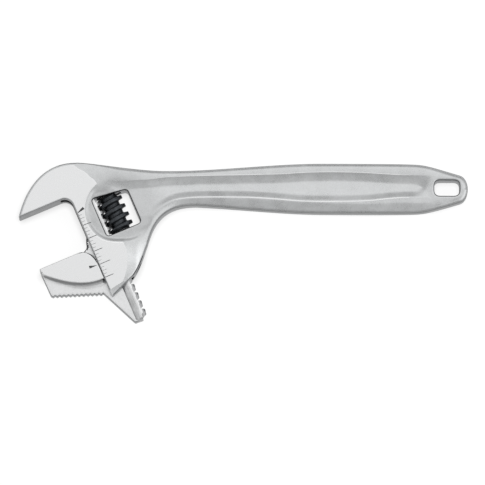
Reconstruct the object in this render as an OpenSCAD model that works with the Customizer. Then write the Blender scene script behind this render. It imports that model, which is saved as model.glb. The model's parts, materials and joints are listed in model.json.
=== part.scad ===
// Wide-opening adjustable wrench with a reversible sliding jaw.
// The wrench lies flat: +X runs along the handle, +Y is the side of the fixed jaw, +Z is up.
// The origin is under the middle of the wrench at rest, on the surface that it lies on.

/* [Size] */
// Length over everything, jaw tip to handle end
overall_length = 200; // [196:1:204]
// Thickness of the jaws and of the head's cheeks
head_thickness = 12.4; // [12:0.1:13]
// Thickness of the handle over its rims
handle_thickness = 9.4; // [8.8:0.1:9.8]
// Half width of the handle at its neck
neck_half_width = 7.6; // [7.2:0.1:8]
// Half width of the handle at the grip
grip_half_width = 11.2; // [10.8:0.1:11.6]
// Depth of the handle's panel under its rims
panel_depth = 1.2; // [0.8:0.1:1.6]

/* [Jaws] */
// Angle between the jaw faces and the handle
jaw_angle = 23.25; // [22:0.25:24]
// Opening between the jaw faces as modelled
jaw_opening = 25.4; // [25:0.1:26]
// Length of the fixed jaw's face from the worm's axis to the tip
jaw_reach = 40.2; // [39.5:0.1:40.8]
// Distance from the worm's axis to the head's front edge
head_front = 15.8; // [15.6:0.1:16]
// Radius of the throat between the fixed jaw's face and the head's front edge
throat_radius = 4.2; // [3.8:0.1:4.6]
// Running gap between the sliding jaw and the head's front edge
jaw_gap = 0.3; // [0.2:0.05:0.4]
// Thickness of the sliding jaw's web
web_thickness = 5; // [4.6:0.1:5.2]
// Side play of the web and the rail in the head
slide_play = 0.1; // [0.08:0.01:0.15]
// Radius of the sliding jaw's round rail
rail_radius = 3.9; // [3.8:0.05:4]
// Distance from the worm's axis to the rail's axis
rail_offset = 7.1; // [7.05:0.05:7.2]
// Length of the rail above the smooth face
rail_above = 21; // [19:0.5:22]
// Length of the rail below the smooth face
rail_below = 38.2; // [37.5:0.1:39]

/* [Worm] */
// Outside radius of the worm's thread
worm_radius = 5.85; // [5.7:0.05:5.9]
// Radius at the root of the worm's thread
worm_root = 3.75; // [3.6:0.05:3.8]
// Pitch of the worm and of the rack
worm_pitch = 4; // [3.9:0.05:4.1]
// Width of the thread's crest
crest_width = 1.7; // [1.6:0.05:1.8]
// Slope of the thread's flanks, from square to the axis
flank_angle = 10; // [8:0.5:11]
// Play between a rack tooth and the thread, each side
rack_play = 0.22; // [0.18:0.01:0.25]
// Radius of the pin that the worm turns on
pin_radius = 1.6; // [1.5:0.05:1.7]
// Running clearance of the worm on its pin
pin_play = 0.05; // [0.03:0.01:0.08]
// Wire diameter of the worm's friction spring
spring_wire = 0.5; // [0.4:0.05:0.6]

/* [Hidden] */

$fn = 64;
curve_steps = 14;
corner_steps = 5;
mid_z = head_thickness / 2;
through = 3 * head_thickness;

// Where the worm's axis crosses the line of the fixed jaw's face, and the handle's centre line
head_x = -63.1;
head_y = 26.87;
handle_y = 24.85;
handle_end = overall_length - 100;

// Window in the head that the worm turns in, along the slide and across it
window_top = [5.1, 7];
window_bottom = 23.4;
window_left = -7.5;
window_right = 9;
window_corner = 1.8;
worm_top = 6.2;
worm_bottom = 22.7;
// A crest faces away from the rack at this distance along the slide
crest_phase = 8.5;
rack_tip = worm_root + 0.85;
rack_root = worm_radius + 0.35;
groove_count = 15;
// Below its last tooth the rail is cut back this far beyond the roots of the teeth
end_relief = 0.8;
rail_chamfer = 0.9;
spring_seat = 18.4;
spring_bore = 2.9;
pin_thread_radius = 2.2;
pin_thread_start = 28;
pin_end = 36.8;
pin_start = 3.4;

// Hang slot near the handle's end
slot_x = [85, 96.2];
slot_y = 25.1;
slot_half_height = 3.5;
slot_corner = 2.6;

function bezier(a, b, c, d, steps = curve_steps) =
    [for (i = [0:steps]) let (t = i / steps, u = 1 - t)
        u * u * u * a + 3 * u * u * t * b + 3 * u * t * t * c + t * t * t * d];

// The corner p between two points, eased over the length r on both sides
function eased_corner(before, p, after, r) =
    let (a = p + (before - p) / norm(before - p) * r,
         b = p + (after - p) / norm(after - p) * r)
    [for (j = [0:corner_steps])
        let (t = j / corner_steps, u = 1 - t)
        u * u * a + 2 * u * t * p + t * t * b];

// A closed outline with each of its corners eased
function eased(points, r) =
    let (count = len(points))
    [for (i = [0:count - 1])
        each eased_corner(points[(i + count - 1) % count], points[i], points[(i + 1) % count], r)];

function smooth(t) = let (c = min(1, max(0, t))) c * c * (3 - 2 * c);

// A point of the slide's plan: s along the opening direction, n across it towards the handle
function plan(s, n) =
    [head_x + s * sin(jaw_angle) + n * cos(jaw_angle),
     head_y - s * cos(jaw_angle) + n * sin(jaw_angle)];
function planned(points) = [for (p = points) plan(p[0], p[1])];

// Puts children made along the worm's axis (x along the slide, y across it) into the head
module on_slide() {
    translate([head_x, head_y, mid_z])
        rotate([0, 0, jaw_angle - 90])
            children();
}

// A rod along the slide from s0 to s1 at distance n across it
module slide_rod(s0, s1, n, r) {
    on_slide()
        translate([s0, n, 0])
            rotate([0, 90, 0])
                cylinder(h = s1 - s0, r = r);
}

module slab(points, thickness) {
    translate([0, 0, mid_z - thickness / 2])
        linear_extrude(height = thickness)
            polygon(points);
}

// ---------------------------------------------------------------- handle

// Half width of the handle: neck, swell to the grip, taper to the rounded end
end_length = 4;
taper_length = 20;
taper_slope = 0.3;
swell = [-35, 36];
function end_round(x) =
    sqrt(max(0, 1 - pow(max(0, x - handle_end + end_length) / end_length, 2.8)));
function taper(x) =
    let (u = x - handle_end + taper_length) taper_slope * (u + sqrt(u * u + 16)) / 2;
function half_width(x) =
    (neck_half_width
     + (grip_half_width - neck_half_width) * smooth((x - swell[0]) / (swell[1] - swell[0]))
     - taper(x)) * end_round(x);

// The handle's lower side flares out into the head
flare_start = -22;
flare_rate = 0.0245;
function flare(x) = flare_rate * pow(max(0, flare_start - x), 2);
function flared(x, y) = y < 0 ? y * (1 + flare(x) / half_width(x)) : y;

// Half width of the panel between the crests of the rims, and how much of its depth there is
function panel_half(x) = min(5 + 1.6 * smooth(1 - abs(x - 41) / 36), 0.6 * half_width(x));
function panel_share(x) = smooth((handle_end - 16 - x) / 7);
panel_wall = 2.8;

// Half thickness over the rims' crests, which grows into the head
function half_thickness(x) =
    (handle_thickness + 1.2 * smooth((-26 - x) / 22) - 0.8 * smooth((x - 60) / 35)) / 2;

// The rims round off from their crests to the handle's edges
rim_power = 2.8;
function round_off(q) = pow(max(0, 1 - pow(abs(q), rim_power)), 0.5);

// Height of the handle's face above its middle plane, at y from the handle's centre line
function face_height(x, y) =
    let (w = half_width(x),
         crest = panel_half(x),
         rim = half_thickness(x) * round_off(y / w) / round_off(crest / w),
         wall = pow(min(1, max(0, (abs(y) - crest) / panel_wall + 1)), 1.6),
         floor = half_thickness(x) - panel_depth * panel_share(x))
    abs(y) > crest ? rim : floor + (half_thickness(x) - floor) * wall;

handle_start = -47.6;
stations = concat(
    [for (x = [handle_start:3.5:80]) x],
    [for (x = [82:1.6:96]) x + handle_end - 100],
    [for (a = [15:15:75]) handle_end - 4 + 4 * sin(a)],
    [handle_end - 0.02]);

// Distances from the centre line, as shares of the rim and of the panel's wall
rim_steps = 6;
wall_steps = 3;
function half_row(x) =
    let (w = max(0.3, half_width(x)), crest = max(0.15, panel_half(x)))
    concat([for (k = [0:rim_steps]) crest + (w - crest) * cos(90 * k / rim_steps)],
           [for (k = [1:wall_steps]) crest * (1 - 0.56 * k / wall_steps)]);
function row(x) =
    let (half = half_row(x), count = len(half))
    concat([for (k = [0:count - 1]) -half[k]], [0], [for (k = [count - 1:-1:0]) half[k]]);

// The first ring is drawn in, so that the loft starts inside the head
function draw_in(x) = x > handle_start ? 1 : 0.55;
function ring_point(x, y, side) =
    [x, handle_y + flared(x, y) * draw_in(x),
     mid_z + side * max(0.15, face_height(x, y)) * draw_in(x)];
function handle_ring(x) =
    let (ys = row(x), count = len(ys))
    concat([for (i = [0:count - 1]) ring_point(x, ys[i], 1)],
           [for (i = [count - 1:-1:0]) ring_point(x, ys[i], -1)]);

module handle() {
    rings = [for (x = stations) handle_ring(x)];
    size = len(rings[0]);
    last = len(rings) - 1;
    points = [for (ring = rings) for (p = ring) p];
    sides = [for (i = [0:last - 1]) for (j = [0:size - 1])
        let (k = (j + 1) % size)
        each [[i * size + j, i * size + k, (i + 1) * size + k],
              [i * size + j, (i + 1) * size + k, (i + 1) * size + j]]];
    caps = [[for (j = [0:size - 1]) size - 1 - j],
            [for (j = [0:size - 1]) last * size + j]];
    polyhedron(points, concat(sides, caps));
}

// ---------------------------------------------------------------- head

// How far down the slide the head's tip reaches
head_foot = 49;

function head_outline() = concat(
    bezier([-100.05, 11.6], [-98.8, 16.9], [-93.5, 35.65], [-75, 35.65]),
    bezier([-74.9, 35.65], [-66.8, 35.65], [-44.8, 32.2], [-36, 32.4]),
    [[-37, 20.6], [-31, 18.2]],
    bezier([-22, 16.9], [-37, 16.6], [-40.2, 7.7], [-42.5, 0]),
    bezier([-42.6, -0.5], [-44.2, -4.3], [-45, -9.2], [-48.9, -15.2]),
    eased_corner(plan(45.6, -5.6), plan(head_foot, -head_front), plan(40, -head_front), 0.5),
    planned([for (a = [0:15:90])
        [throat_radius * (1 - sin(a)), -head_front - throat_radius * (1 - cos(a))]]),
    planned([[0, -jaw_reach + 0.4], [-0.4, -jaw_reach]]));

// Faces that fall away from the jaws' level towards the handle
module face_slope() {
    for (side = [-1, 1])
        on_slide()
            rotate([side * 3, 0, 0])
                translate([-60, -2, side > 0 ? mid_z : -mid_z - 10])
                    cube([120, 60, 10]);
}

// A cut on both faces by a plane through a point, tilted towards a bearing
module tilted_cut(at, bearing, tilt) {
    for (side = [-1, 1])
        translate([at[0], at[1], mid_z + side * at[2]])
            rotate([0, 0, bearing])
                rotate([0, side * tilt, 0])
                    translate([-60, -60, side > 0 ? 0 : -30])
                        cube([120, 120, 30]);
}

// Falls where the head's crown and its heel round off towards the handle, and along its lower edge
module edge_falls() {
    tilted_cut([-66, 34.3, mid_z], 74, 48);
    tilted_cut([-45, -5, mid_z - 0.3], -19, 43);
    tilted_cut([-55.4, -18.4, mid_z], -47, 38);
}

// Shallow round recess that circles the window
module window_ring() {
    for (side = [-1, 1])
        on_slide()
            translate([14.6, 2.3, side * (mid_z - 0.5) + (side > 0 ? 0 : -10)])
                cylinder(h = 10, r = 15.5);
}

// Recess from the window into the handle's panel, deeper towards the handle
module head_panel() {
    for (side = [-1, 1])
        intersection() {
            slab([[-67.2, 27.5], [-60, 28.4], [-50, 29.1], [-44, 29.3], [-44, 20], [-32, 20],
                  [-37.3, 15.7], [-39.5, 13], [-42, 9.4], [-46, 8], [-56, 12], [-67.2, 16.6]], through);
            translate([-68, 0, mid_z + side * (mid_z - 0.5)])
                rotate([0, side * 4.2, 0])
                    translate([-10, 0, side > 0 ? 0 : -10])
                        cube([60, 60, 10]);
        }
}

// Bore and slot that the sliding jaw's rail and web run in
module jaw_way() {
    slide_rod(-30, 70, -rail_offset, rail_radius + slide_play);
    slab(planned([[-9.5, -rail_offset], [-9.5, -14.6], [-8.3, -16.4], [-5, -17.6], [-2.5, -18.6],
                  [-1, -20.2], [70, -20.2], [70, -rail_offset]]), web_thickness + 2 * slide_play);
}

module worm_window() {
    slab(eased(planned([[window_top[0], window_left], [window_top[1], window_right],
                        [window_bottom, window_right], [window_bottom, window_left]]),
               window_corner), through);
    // Room for the worm's upper end in the slanting wall
    slide_rod(worm_top - 0.2, window_bottom - 1, 0, worm_radius + 0.4);
}

module pin_bores() {
    slide_rod(pin_start - 0.3, worm_top, 0, pin_radius + pin_play);
    slide_rod(window_bottom - 1, pin_thread_start + 1, 0, pin_radius + pin_play);
    slide_rod(pin_thread_start, 50, 0, pin_thread_radius);
}

module hang_slot() {
    slab(eased([[slot_x[0], slot_y - slot_half_height], [slot_x[1], slot_y - slot_half_height],
                [slot_x[1], slot_y + slot_half_height], [slot_x[0], slot_y + slot_half_height]],
               slot_corner), through);
}

module body() {
    color([0.74, 0.75, 0.76])
        difference() {
            union() {
                difference() {
                    slab(head_outline(), head_thickness);
                    face_slope();
                    edge_falls();
                    window_ring();
                    head_panel();
                }
                handle();
            }
            jaw_way();
            worm_window();
            pin_bores();
            hang_slot();
        }
}

// ---------------------------------------------------------------- sliding jaw

face_s = jaw_opening;
tooth_count = 12;
tooth_height = 0.75;
grip_start = [face_s + 12.3, -40.8];
grip_end = [face_s + 20.4, -18.9];
jaw_tip = -40.9;

function boss_outline() = planned(concat(
    [[face_s, jaw_tip]],
    bezier([face_s, -22.4], [face_s, -18.2], [face_s + 4.1, -16.3], [face_s + 9.1, -head_front - jaw_gap]),
    bezier([face_s + 14.9, -head_front - jaw_gap], [face_s + 15.2, -25.5],
           [face_s + 9.6, -33.5], [face_s + 2.5, jaw_tip])));

// The second gripping edge: a row of sharp teeth
function grip_teeth() =
    let (step = (grip_end - grip_start) / tooth_count,
         out = [step[1], -step[0]] / norm(step) * tooth_height)
    [for (i = [0:tooth_count - 1]) each [grip_start + i * step,
                                          grip_start + (i + 0.5) * step + out]];

function web_outline() = planned(concat(
    [[face_s + 2, jaw_tip - 0.2]],
    grip_teeth(),
    [grip_end, [face_s + rail_below - 0.4, -11.1], [face_s + rail_below, -10.6],
     [face_s + rail_below, -rail_offset - 0.9], [face_s - 9.1, -rail_offset - 0.9]],
    bezier([face_s - 9.1, -13.5], [face_s - 2.2, -19.5], [face_s - 1.5, -15.5], [face_s + 0.1, -20.2], 8),
    [[face_s + 1, -24]]));

// Grooves between the rack's teeth, tilted to the worm's lead
module rack_grooves() {
    tip_gap = worm_pitch - (worm_pitch - crest_width - 2 * (worm_radius - rack_tip) * tan(flank_angle)
                            - 2 * rack_play);
    root_gap = crest_width + 2 * rack_play;
    tilt = atan(worm_pitch / (2 * PI * (worm_root + worm_radius) / 2));
    first = crest_phase - worm_pitch / 2;
    on_slide()
        for (i = [0:groove_count - 1])
            // The last groove runs out through the rail's end
            let (run_out = i == groove_count - 1 ? worm_pitch : 0)
            translate([first + i * worm_pitch, 0, 0])
                rotate([0, -tilt, 0])
                    translate([0, 0, -8])
                        linear_extrude(height = 16)
                            polygon([[-root_gap / 2, -rack_root], [root_gap / 2 + run_out, -rack_root],
                                     [tip_gap / 2 + run_out, -rack_tip], [tip_gap / 2 + run_out, 0],
                                     [-tip_gap / 2, 0], [-tip_gap / 2, -rack_tip]]);
}

module sliding_jaw() {
    color([0.79, 0.8, 0.81])
        difference() {
            union() {
                slab(boss_outline(), head_thickness);
                slab(web_outline(), web_thickness);
                slide_rod(face_s - rail_above, face_s + rail_below - rail_chamfer, -rail_offset,
                          rail_radius);
                on_slide()
                    translate([face_s + rail_below - rail_chamfer, -rail_offset, 0])
                        rotate([0, 90, 0])
                            cylinder(h = rail_chamfer, r1 = rail_radius, r2 = rail_radius - rail_chamfer);
            }
            // The tops of the rack's teeth
            on_slide()
                translate([-20, -rack_tip, -10])
                    cube([100, 10, 20]);
            // The rail's end below the last tooth
            on_slide()
                translate([crest_phase + (groove_count - 1.6) * worm_pitch, -rack_root - end_relief, -10])
                    cube([10, 10, 20]);
            rack_grooves();
        }
}

// ---------------------------------------------------------------- worm, pin and spring

turn_steps = 30;

// The thread and its root as one solid that runs past both ends, before the ends are faced
module worm_thread() {
    half_root = worm_pitch / 2;
    half_crest = crest_width / 2;
    rise = (worm_radius - worm_root) * tan(flank_angle);
    // distance along the axis and radius, over one pitch
    profile = [[-half_crest, worm_radius - 0.25], [-half_crest + 0.25, worm_radius],
               [half_crest - 0.25, worm_radius], [half_crest, worm_radius - 0.25],
               [half_crest + rise, worm_root], [worm_pitch - half_crest - rise, worm_root]];
    pitches = 7;
    rows = pitches * len(profile);
    function row_point(row, turn) =
        let (p = profile[row % len(profile)],
             s = crest_phase + worm_pitch * (floor(row / len(profile)) - 2 + turn / turn_steps) + p[0],
             a = 360 * turn / turn_steps)
        [s, p[1] * cos(a), p[1] * sin(a)];
    // One helical strip: column t of turn t, closed on itself one pitch further on
    points = [for (t = [0:turn_steps - 1]) for (row = [0:rows]) row_point(row, t)];
    stride = rows + 1;
    per = len(profile);
    walls = [for (t = [0:turn_steps - 2]) for (row = [0:rows - 1])
        let (a = t * stride + row, b = (t + 1) * stride + row)
        each [[a, a + 1, b], [b, a + 1, b + 1]]];
    seam = [for (row = [0:rows - 1 - per])
        let (a = (turn_steps - 1) * stride + row, b = row + per)
        each [[a, a + 1, b], [b, a + 1, b + 1]]];
    low_end = concat([for (t = [0:turn_steps - 1]) t * stride], [for (row = [per:-1:1]) row]);
    high_end = concat([for (t = [turn_steps - 1:-1:0]) t * stride + rows],
                      [for (row = [rows - per:rows - 1]) (turn_steps - 1) * stride + row]);
    start = [worm_top - 6, 0, 0];
    finish = [worm_bottom + 6, 0, 0];
    count = len(points);
    low_fan = [for (i = [0:len(low_end) - 1])
        [low_end[i], low_end[(i + 1) % len(low_end)], count]];
    high_fan = [for (i = [0:len(high_end) - 1])
        [high_end[i], high_end[(i + 1) % len(high_end)], count + 1]];
    polyhedron(concat(points, [start, finish]), concat(walls, seam, low_fan, high_fan));
}

module worm() {
    chamfer = 1;
    color([0.13, 0.14, 0.15])
        on_slide()
            difference() {
                intersection() {
                    worm_thread();
                    translate([worm_top, 0, 0])
                        rotate([0, 90, 0])
                            rotate_extrude()
                                polygon([[0, 0], [worm_radius - chamfer, 0], [worm_radius + 0.5, chamfer],
                                         [worm_radius + 0.5, worm_bottom - worm_top - chamfer],
                                         [worm_radius - chamfer, worm_bottom - worm_top],
                                         [0, worm_bottom - worm_top]]);
                }
                rotate([0, 90, 0])
                    cylinder(h = 40, r = pin_radius + pin_play);
                translate([spring_seat, 0, 0])
                    rotate([0, 90, 0])
                        cylinder(h = 20, r = spring_bore);
            }
}

module worm_pin() {
    driver_slot = 0.8;
    color([0.45, 0.46, 0.47])
        difference() {
            union() {
                slide_rod(pin_start, pin_thread_start + 0.5, 0, pin_radius);
                slide_rod(pin_thread_start + 0.02, pin_end, 0, pin_thread_radius);
            }
            on_slide()
                translate([pin_end - 1.1, -5, -driver_slot / 2])
                    cube([5, 10, driver_slot]);
        }
}

module worm_spring() {
    turns = 5;
    steps = 20;
    sides = 8;
    coil_radius = (pin_radius + spring_bore) / 2 + 0.05;
    s0 = spring_seat + spring_wire / 2 + 0.05;
    s1 = window_bottom - spring_wire / 2 - 0.05;
    total = turns * steps;
    // The end turns lie nearly flat, and the pitch opens between them
    function along(t) = s0 + (s1 - s0) * (0.75 * smooth(t) + 0.25 * t);
    points = [for (i = [0:total]) for (j = [0:sides - 1])
        let (a = 360 * i / steps, b = 360 * j / sides,
             r = coil_radius + spring_wire / 2 * cos(b))
        [along(i / total) + spring_wire / 2 * sin(b), r * cos(a), r * sin(a)]];
    walls = [for (i = [0:total - 1]) for (j = [0:sides - 1])
        let (k = (j + 1) % sides)
        each [[i * sides + j, i * sides + k, (i + 1) * sides + j],
              [(i + 1) * sides + j, i * sides + k, (i + 1) * sides + k]]];
    ends = [[for (j = [sides - 1:-1:0]) j], [for (j = [0:sides - 1]) total * sides + j]];
    color([0.55, 0.56, 0.58])
        on_slide()
            polyhedron(points, concat(walls, ends));
}

body();
sliding_jaw();
worm();
worm_pin();
worm_spring();
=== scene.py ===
"""Looks of the wide-opening adjustable wrench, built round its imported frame.

Lengths in this script are millimetres until a mesh is made; Blender's own values are metres.
The wrench is measured in the slide's plan: s runs along the jaw's slide, n across it to the handle.
"""

import json
import math

import bmesh
import bpy
import numpy as np
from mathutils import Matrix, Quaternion, Vector
from mathutils.geometry import delaunay_2d_cdt
from mathutils.kdtree import KDTree


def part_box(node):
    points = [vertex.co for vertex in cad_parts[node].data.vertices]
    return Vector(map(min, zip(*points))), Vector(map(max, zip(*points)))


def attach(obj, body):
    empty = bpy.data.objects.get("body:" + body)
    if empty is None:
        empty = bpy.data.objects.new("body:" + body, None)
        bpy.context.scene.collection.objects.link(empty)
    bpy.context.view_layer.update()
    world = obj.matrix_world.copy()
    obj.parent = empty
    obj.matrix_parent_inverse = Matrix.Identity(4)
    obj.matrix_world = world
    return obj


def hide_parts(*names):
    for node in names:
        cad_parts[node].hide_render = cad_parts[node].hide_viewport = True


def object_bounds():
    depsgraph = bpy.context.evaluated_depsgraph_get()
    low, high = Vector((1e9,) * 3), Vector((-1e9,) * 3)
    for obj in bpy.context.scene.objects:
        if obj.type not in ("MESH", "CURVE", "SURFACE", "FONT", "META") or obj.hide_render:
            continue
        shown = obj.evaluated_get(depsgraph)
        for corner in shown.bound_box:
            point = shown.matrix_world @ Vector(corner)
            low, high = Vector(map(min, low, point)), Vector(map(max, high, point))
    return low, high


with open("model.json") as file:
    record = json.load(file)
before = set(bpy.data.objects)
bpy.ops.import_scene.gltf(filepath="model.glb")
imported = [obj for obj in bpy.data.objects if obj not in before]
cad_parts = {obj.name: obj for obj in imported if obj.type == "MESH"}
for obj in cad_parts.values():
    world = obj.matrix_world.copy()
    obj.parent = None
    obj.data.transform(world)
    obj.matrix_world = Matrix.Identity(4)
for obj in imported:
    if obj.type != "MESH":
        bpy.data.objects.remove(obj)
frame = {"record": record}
cad_low, cad_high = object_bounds()
scene = bpy.context.scene

MM = 0.001

# -------------------- the slide's plan

joints = {joint["name"]: joint for joint in frame["record"]["behaviour"]["joints"]}
ALONG = np.array(joints["jaw_slide"]["axis"][:2])
ALONG = ALONG / np.linalg.norm(ALONG)
ACROSS = np.array([-ALONG[1], ALONG[0]])
WORM_MIDDLE = 14.9
spin_point = np.array(joints["worm_spin"]["pos_m"]) / MM
ORIGIN = spin_point[:2] - WORM_MIDDLE * ALONG
MID = spin_point[2]

body_high = np.array(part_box("body")[1]) / MM
HEAD_HALF = body_high[2] - MID
HANDLE_END = body_high[0]
HANDLE_Y = 24.85

# The slide, from the same sizes as the solids
JAW_FACE = 25.4
HEAD_FRONT = 15.8
JAW_REACH = 40.2
JAW_GAP = 0.3
WEB_HALF = 2.5
SLIDE_PLAY = 0.1
RAIL_RADIUS = 3.9
RAIL_N = -7.1
RAIL_START = JAW_FACE - 21
RAIL_FINISH = JAW_FACE + 38.2
PITCH = 4.0
CREST_PHASE = 8.5
WORM_TOP = 6.2
WORM_BOTTOM = 22.7
WORM_RADIUS = 5.85
WORM_ROOT = 3.75
PIN_RADIUS = 1.6
PIN_PLAY = 0.05
PIN_THREAD_RADIUS = 2.2
PIN_START = 3.4
PIN_THREAD_START = 28.0
PIN_END = 36.8
SPRING_SEAT = 18.4
SPRING_BORE = 2.9
SPRING_WIRE = 0.5
WINDOW_BOTTOM = 23.4


def plan(s, n):
    """World x and y of a point of the slide's plan, or of arrays of them."""
    s, n = np.asarray(s, float), np.asarray(n, float)
    return ORIGIN + s[..., None] * ALONG + n[..., None] * ACROSS


def planned(points):
    points = np.array(points, float)
    return plan(points[:, 0], points[:, 1])


def slide_parts(points):
    """The s and n of world points."""
    off = points[:, :2] - ORIGIN
    return off @ ALONG, off @ ACROSS


# -------------------- curves and distances


def bezier(a, b, c, d, steps=24):
    """Points of the curve from a to d, which b and c pull on."""
    t = np.linspace(0, 1, steps + 1)[:, None]
    u = 1 - t
    a, b, c, d = (np.array(p, float) for p in (a, b, c, d))
    return u**3 * a + 3 * u * u * t * b + 3 * u * t * t * c + t**3 * d


def eased_corner(before, p, after, r):
    """The corner p eased over the length r on both sides."""
    a = p + (before - p) / np.linalg.norm(before - p) * r
    b = p + (after - p) / np.linalg.norm(after - p) * r
    return np.array([(1 - t) ** 2 * a + 2 * t * (1 - t) * p + t * t * b for t in np.linspace(0, 1, 7)])


def eased(points, r):
    """A closed outline with each corner eased."""
    points = np.array(points, float)
    around = zip(np.roll(points, 1, axis=0), points, np.roll(points, -1, axis=0))
    return np.vstack([eased_corner(before, p, after, r) for before, p, after in around])


def rectangle(left, bottom, right, top):
    """Corners in order round the rectangle."""
    return [(left, bottom), (right, bottom), (right, top), (left, top)]


def flowing(points, step=0.6):
    """A smooth open curve through the points, about one point every step."""
    points = np.array(points, float)
    ends = np.vstack([2 * points[0] - points[1], points, 2 * points[-1] - points[-2]])
    made = []
    for p0, p1, p2, p3 in zip(ends, ends[1:], ends[2:], ends[3:]):
        count = max(1, int(round(np.linalg.norm(p2 - p1) / step)))
        for t in np.arange(count) / count:
            made.append(0.5 * (2 * p1 + (p2 - p0) * t + (2 * p0 - 5 * p1 + 4 * p2 - p3) * t * t
                               + (3 * p1 - p0 - 3 * p2 + p3) * t**3))
    made.append(points[-1])
    return np.array(made)


def spaced(points, step):
    """The same closed line with its long stretches divided and its crowded points thinned."""
    points = np.array(points, float)
    made = [points[0]]
    for p in np.vstack([points[1:], points[:1]]):
        start = made[-1]
        gap = np.linalg.norm(p - start)
        if gap < step * 0.3:
            continue
        count = max(1, int(math.ceil(gap / step - 0.2)))
        made += [start + (p - start) * i / count for i in range(1, count + 1)]
    if np.linalg.norm(made[-1] - made[0]) < step * 0.5:
        made.pop()
    return np.array(made)


def smooth(t):
    """Goes from 0 to 1 with t, and starts and ends gently."""
    t = np.clip(t, 0, 1)
    return t * t * (3 - 2 * t)


def ramp(value, start, end):
    """Rises smoothly from 0 to 1 as the value goes from start to end."""
    return smooth((value - start) / (end - start))


def closeness(distance, reach):
    """1 on an edge, falling evenly to 0 at the reach from it."""
    return np.clip(1 - distance / reach, 0, 1)


def quarter_round(share):
    """Drop of a quarter round of radius 1, from 0 at its foot to 1 at its edge."""
    return 1 - np.sqrt(1 - share * share)


def left_normals(line, closed=True):
    """Unit normals to the left of each point of a line."""
    if closed:
        ahead = np.roll(line, -1, axis=0) - np.roll(line, 1, axis=0)
    else:
        ahead = np.gradient(line, axis=0)
    left = np.column_stack([-ahead[:, 1], ahead[:, 0]])
    return left / np.linalg.norm(left, axis=1)[:, None]


def nearest(points, line, closed=True):
    """Distance from each point to the line, and on which side of it the point lies (+ is left)."""
    a = line if closed else line[:-1]
    b = np.roll(line, -1, axis=0) if closed else line[1:]
    run = b - a
    length = np.maximum((run**2).sum(1), 1e-12)
    far, side = np.empty(len(points)), np.empty(len(points))
    for start in range(0, len(points), 2000):
        p = points[start:start + 2000]
        off = p[:, None, :] - a[None]
        t = np.clip((off * run).sum(2) / length, 0, 1)
        gap = off - t[..., None] * run
        square = (gap**2).sum(2)
        best = square.argmin(1)
        rows = np.arange(len(p))
        far[start:start + len(p)] = np.sqrt(square[rows, best])
        cross = run[best, 0] * off[rows, best, 1] - run[best, 1] * off[rows, best, 0]
        side[start:start + len(p)] = np.where(cross < 0, -1, 1)
    return far, side


def inside(points, loop):
    """Whether each point lies in the closed loop."""
    x, y = points[:, 0], points[:, 1]
    within = np.zeros(len(points), bool)
    for (ax, ay), (bx, by) in zip(loop, np.roll(loop, -1, axis=0)):
        if ay == by:
            continue
        crosses = (ay > y) != (by > y)
        within ^= crosses & (x < (bx - ax) * (y - ay) / (by - ay) + ax)
    return within


# -------------------- meshes


def mesh_object(name, verts, faces, materials, indices=None):
    """A mesh from millimetres. indices gives each face's material."""
    mesh = bpy.data.meshes.new(name)
    mesh.from_pydata([tuple(v) for v in np.asarray(verts) * MM], [], [tuple(map(int, f)) for f in faces])
    for one in materials:
        mesh.materials.append(one)
    if indices is not None:
        mesh.polygons.foreach_set("material_index", np.array(indices, np.int32))
    mesh.update()
    made = bpy.data.objects.new(name, mesh)
    scene.collection.objects.link(made)
    return made


def finish_shading(made, angle=32):
    """Smooth shading, with a sharp edge wherever two faces turn by more than the angle."""
    made.data.polygons.foreach_set("use_smooth", np.ones(len(made.data.polygons), bool))
    made.data.set_sharp_from_angle(angle=math.radians(angle))
    made.data.update()


def applied(made, kind, **values):
    """Adds one modifier and bakes it into the mesh."""
    modifier = made.modifiers.new(kind, kind)
    for key, value in values.items():
        setattr(modifier, key, value)
    graph = bpy.context.evaluated_depsgraph_get()
    mesh = bpy.data.meshes.new_from_object(made.evaluated_get(graph))
    made.modifiers.clear()
    old = made.data
    made.data = mesh
    bpy.data.meshes.remove(old)


def combine(made, other, operation):
    """Cuts, joins or intersects a solid with another one, which is used up."""
    applied(made, "BOOLEAN", object=other, operation=operation, solver="EXACT", material_mode="TRANSFER")
    bpy.data.objects.remove(other, do_unlink=True)


def grid_faces(rows, columns):
    """Quads of a grid whose columns close on themselves."""
    faces = []
    for i in range(rows - 1):
        for j in range(columns):
            k = (j + 1) % columns
            faces.append((i * columns + j, i * columns + k, (i + 1) * columns + k, (i + 1) * columns + j))
    return faces


def rod(name, start, finish, n, radius, material):
    """A round rod along the slide."""
    return lathe(name, [(start, radius), (finish, radius)], n, material, sides=64)


def lathe(name, profile, n, material, sides=96):
    """A turned solid along the slide from (s, radius) pairs, with flat ends."""
    turn = np.arange(sides) * 2 * math.pi / sides
    verts = []
    for s, radius in profile:
        xy = plan(np.full(sides, s), n + radius * np.cos(turn))
        verts.append(np.column_stack([xy, MID + radius * np.sin(turn)]))
    faces = [face[::-1] for face in grid_faces(len(profile), sides)]
    faces.append(tuple(range(sides)))
    faces.append(tuple(reversed(range((len(profile) - 1) * sides, len(profile) * sides))))
    return outward(mesh_object(name, np.vstack(verts), faces, [material]))


def prism(name, outline, low, high, material):
    """An upright prism over a plan outline."""
    count = len(outline)
    verts = np.vstack([np.column_stack([outline, np.full(count, z)]) for z in (low, high)])
    faces = [tuple(reversed(range(count))), tuple(range(count, 2 * count))]
    faces += [(i, (i + 1) % count, count + (i + 1) % count, count + i) for i in range(count)]
    return outward(mesh_object(name, verts, faces, [material]))


def outward(made):
    """Turns the faces of a closed mesh outward."""
    work = bmesh.new()
    work.from_mesh(made.data)
    bmesh.ops.recalc_face_normals(work, faces=work.faces)
    work.to_mesh(made.data)
    work.free()
    return made


# Size of the grid's triangles, and the share of it that its points keep from the points already there
GRID = 0.6
GRID_ROOM = 0.55


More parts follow.
